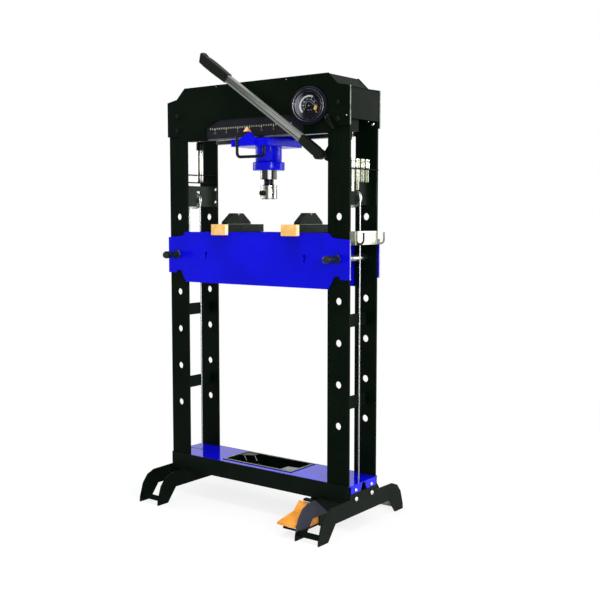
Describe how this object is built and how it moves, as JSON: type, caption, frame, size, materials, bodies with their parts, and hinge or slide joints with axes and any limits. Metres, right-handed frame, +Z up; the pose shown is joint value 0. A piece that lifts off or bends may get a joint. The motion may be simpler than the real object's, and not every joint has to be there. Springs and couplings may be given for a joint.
{
  "type": "hydraulic press",
  "caption": "Floor-standing hydraulic workshop press with a travelling ram carriage, pinned adjustable bed, hand lever, foot pedal, pressure gauge, cable lift and tool tray.",
  "frame": {"origin": "point on the floor under the ram's axis, midway between the four columns", "axes": "+X to the gauge side along the frame's width, +Y to the rear, +Z up"},
  "size_m": [0.9798, 0.596, 1.8653],
  "materials": {
    "black_paint": "satin",
    "blue_paint": "gloss",
    "orange_paint": "gloss",
    "amber_caps": "gloss",
    "grey_paint": "hammered",
    "scale_paint": "satin",
    "bright_steel": "brushed",
    "chrome": "polished",
    "zinc": "satin",
    "dark_steel": "oiled",
    "rubber": "matt",
    "black_plastic": "satin",
    "dial_face": "matt",
    "needle_white": "painted",
    "clear_glass": "clear",
    "nylon": "matt"
  },
  "bodies": {
    "frame": {"column_front_left": "black_paint", "column_front_right": "black_paint", "column_rear_left": "black_paint", "column_rear_right": "black_paint", "column_ties": "black_paint", "head_front_plate": "black_paint", "head_rear_plate": "black_paint", "head_top_cover": "black_paint", "head_end_covers": "black_paint", "frame_bolts": "bright_steel", "carriage_rails": "bright_steel", "scale_plate": "scale_paint", "gauge_case": "black_plastic", "gauge_dial": "dial_face", "gauge_glass": "clear_glass", "release_valve": "dark_steel", "pump_body": "black_paint", "bed_front_plate": "blue_paint", "bed_rear_plate": "blue_paint", "bed_cross_plates": "blue_paint", "block_left": "black_paint", "block_right": "black_paint", "block_caps": "amber_caps", "mandrel_rack": "black_paint", "mandrels": "chrome", "tube_rack": "black_paint", "stowed_tube": "chrome", "tube_cap": "rubber", "hook_bracket": "zinc", "sheave_brackets": "black_paint", "lifting_cables": "bright_steel", "base_side_plates": "black_paint", "base_deck": "blue_paint", "tool_tray": "black_paint", "foot_left": "black_paint", "foot_right": "black_paint", "foot_pump": "black_paint"},
    "carriage": {"carriage_plate": "blue_paint", "carriage_shoes": "nylon", "pointer_bracket": "blue_paint", "pointer": "orange_paint", "carriage_handle": "black_paint", "cylinder_barrel": "blue_paint", "cylinder_collar": "blue_paint"},
    "ram": {"ram_rod": "chrome", "ram_stub": "dark_steel", "tool_holder": "chrome"},
    "clamp_screw": {"holder_screw": "black_plastic"},
    "lever": {"lever_socket": "black_paint", "lever_arm": "grey_paint", "lever_grip": "rubber"},
    "needle": {"gauge_needle": "needle_white"},
    "paddle": {"release_paddle": "black_plastic"},
    "left_pin": {"pin_left": "bright_steel", "pin_grip_left": "rubber"},
    "right_pin": {"pin_right": "bright_steel", "pin_grip_right": "rubber"},
    "left_sheave": {"sheave_left": "bright_steel"},
    "right_sheave": {"sheave_right": "bright_steel"},
    "treadle": {"pedal": "orange_paint"}
  },
  "joints": [
    {"name": "carriage_slide", "type": "slide", "parent": "frame", "child": "carriage", "axis": [1, 0, 0], "range_m": [-0.09, 0.12]},
    {"name": "ram_slide", "type": "slide", "parent": "carriage", "child": "ram", "axis": [0, 0, -1], "range_m": [0, 0.15]},
    {"name": "clamp_turn", "type": "hinge", "parent": "ram", "child": "clamp_screw", "pos_m": [0, -0.04, 1.30178], "axis": [0, 1, 0], "continuous": true},
    {"name": "lever_swing", "type": "hinge", "parent": "frame", "child": "lever", "pos_m": [0.34, -0.12, 1.44], "axis": [0, -1, 0], "range_deg": [0, 50]},
    {"name": "needle_turn", "type": "hinge", "parent": "frame", "child": "needle", "pos_m": [0.29896, -0.13208, 1.623], "axis": [-0.309, 0.9511, 0], "range_deg": [0, 270], "stiffness_Nm_per_rad": 0.001, "springref_deg": -22.92},
    {"name": "paddle_turn", "type": "hinge", "parent": "frame", "child": "paddle", "pos_m": [0.374, -0.12, 1.575], "axis": [0, -1, 0], "range_deg": [0, 45]},
    {"name": "left_pin_pull", "type": "slide", "parent": "frame", "child": "left_pin", "axis": [0, -1, 0], "range_m": [0, 0.24]},
    {"name": "right_pin_pull", "type": "slide", "parent": "frame", "child": "right_pin", "axis": [0, -1, 0], "range_m": [0, 0.24]},
    {"name": "left_sheave_turn", "type": "hinge", "parent": "frame", "child": "left_sheave", "pos_m": [-0.415, 0, 1.276], "axis": [0, 1, 0], "continuous": true},
    {"name": "right_sheave_turn", "type": "hinge", "parent": "frame", "child": "right_sheave", "pos_m": [0.415, 0, 1.276], "axis": [0, 1, 0], "continuous": true},
    {"name": "pedal_press", "type": "hinge", "parent": "frame", "child": "treadle", "pos_m": [0.312, -0.125, 0.082], "axis": [1, 0, 0], "range_deg": [0, 8], "stiffness_Nm_per_rad": 15, "springref_deg": -8.59}
  ]
}
